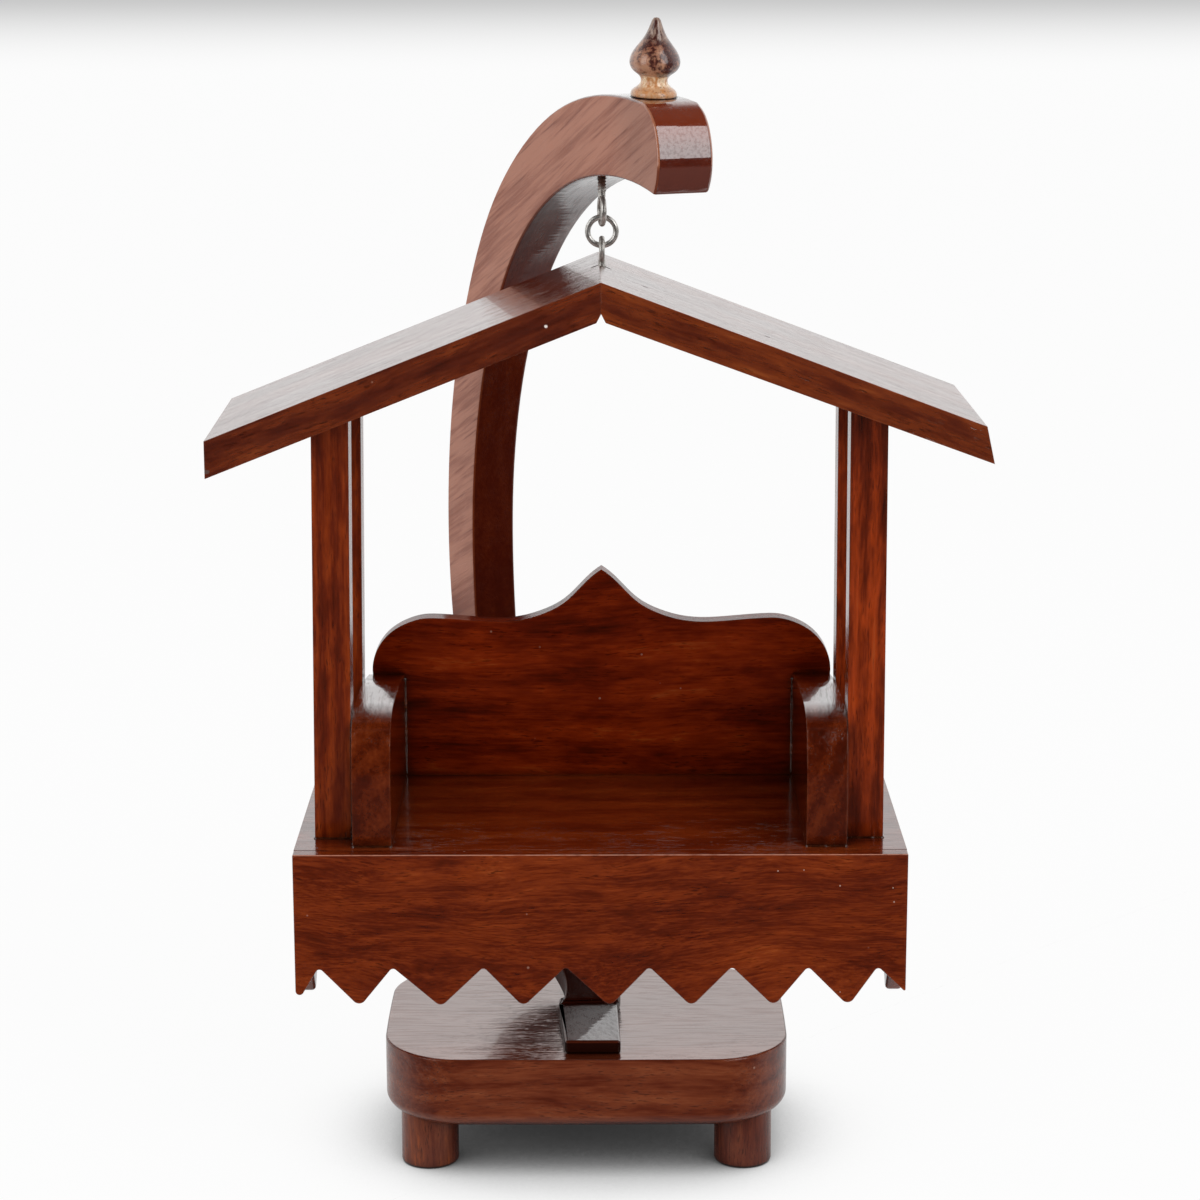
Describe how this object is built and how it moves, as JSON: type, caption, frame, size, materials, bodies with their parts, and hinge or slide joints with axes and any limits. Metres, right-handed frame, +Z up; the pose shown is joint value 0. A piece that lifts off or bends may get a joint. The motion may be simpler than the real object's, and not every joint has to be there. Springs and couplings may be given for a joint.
{
  "type": "hanging canopy swing",
  "caption": "Small wooden canopy swing hung by a ring from a crescent arm on a slab base with round feet.",
  "frame": {"origin": "on the floor under the centre of the base slab", "axes": "+Z up, -Y towards the front of the seat, +X to the viewer's right"},
  "size_m": [0.2741, 0.1979, 0.4159],
  "materials": {
    "stand_wood": "gloss lacquered red-brown hardwood",
    "roof_wood": "gloss lacquered red-brown hardwood",
    "post_wood": "gloss lacquered red-brown hardwood",
    "seat_wood": "gloss lacquered red-brown hardwood",
    "finial_lacquer": "mottled brown lacquer over a cream and gold neck",
    "dowel_wood": "bare hardwood",
    "screw_steel": "plain steel",
    "hanging_steel": "darkened bright steel wire"
  },
  "bodies": {
    "stand": {"base_slab": "stand_wood", "foot_front_left": "stand_wood", "foot_front_right": "stand_wood", "foot_rear_left": "stand_wood", "foot_rear_right": "stand_wood", "arm": "stand_wood", "finial": "finial_lacquer", "finial_dowel": "dowel_wood", "arm_screws": "screw_steel"},
    "upper_eye": {"upper_eye": "hanging_steel"},
    "ring": {"ring": "hanging_steel"},
    "lower_eye": {"lower_eye": "hanging_steel"},
    "swing": {"roof_board_left": "roof_wood", "roof_board_right": "roof_wood", "ridge_pins": "screw_steel", "post_front_left": "post_wood", "post_front_right": "post_wood", "post_rear_left": "post_wood", "post_rear_right": "post_wood", "post_dowels": "dowel_wood", "post_screws": "screw_steel", "seat_board": "seat_wood", "front_fascia": "seat_wood", "side_skirt_left": "seat_wood", "side_skirt_right": "seat_wood", "armrest_left": "seat_wood", "armrest_right": "seat_wood", "armrest_screws": "screw_steel", "backrest": "seat_wood", "backrest_screws": "screw_steel"}
  },
  "joints": [
    {"name": "upper_eye_turn", "type": "hinge", "parent": "stand", "child": "upper_eye", "pos_m": [0.0063, 0, 0.3579], "axis": [0, 0, 1], "range_deg": [-3, 3]},
    {"name": "fore_and_aft_swing", "type": "hinge", "parent": "upper_eye", "child": "ring", "pos_m": [0.0063, 0, 0.34443], "axis": [1, 0, 0], "range_deg": [-14, 3]},
    {"name": "side_sway", "type": "hinge", "parent": "ring", "child": "lower_eye", "pos_m": [0.0063, 0, 0.3394], "axis": [0, 1, 0], "range_deg": [-5, 5]},
    {"name": "lower_eye_turn", "type": "hinge", "parent": "lower_eye", "child": "swing", "pos_m": [0.0063, 0, 0.3274], "axis": [0, 0, 1], "range_deg": [-5, 5]}
  ]
}
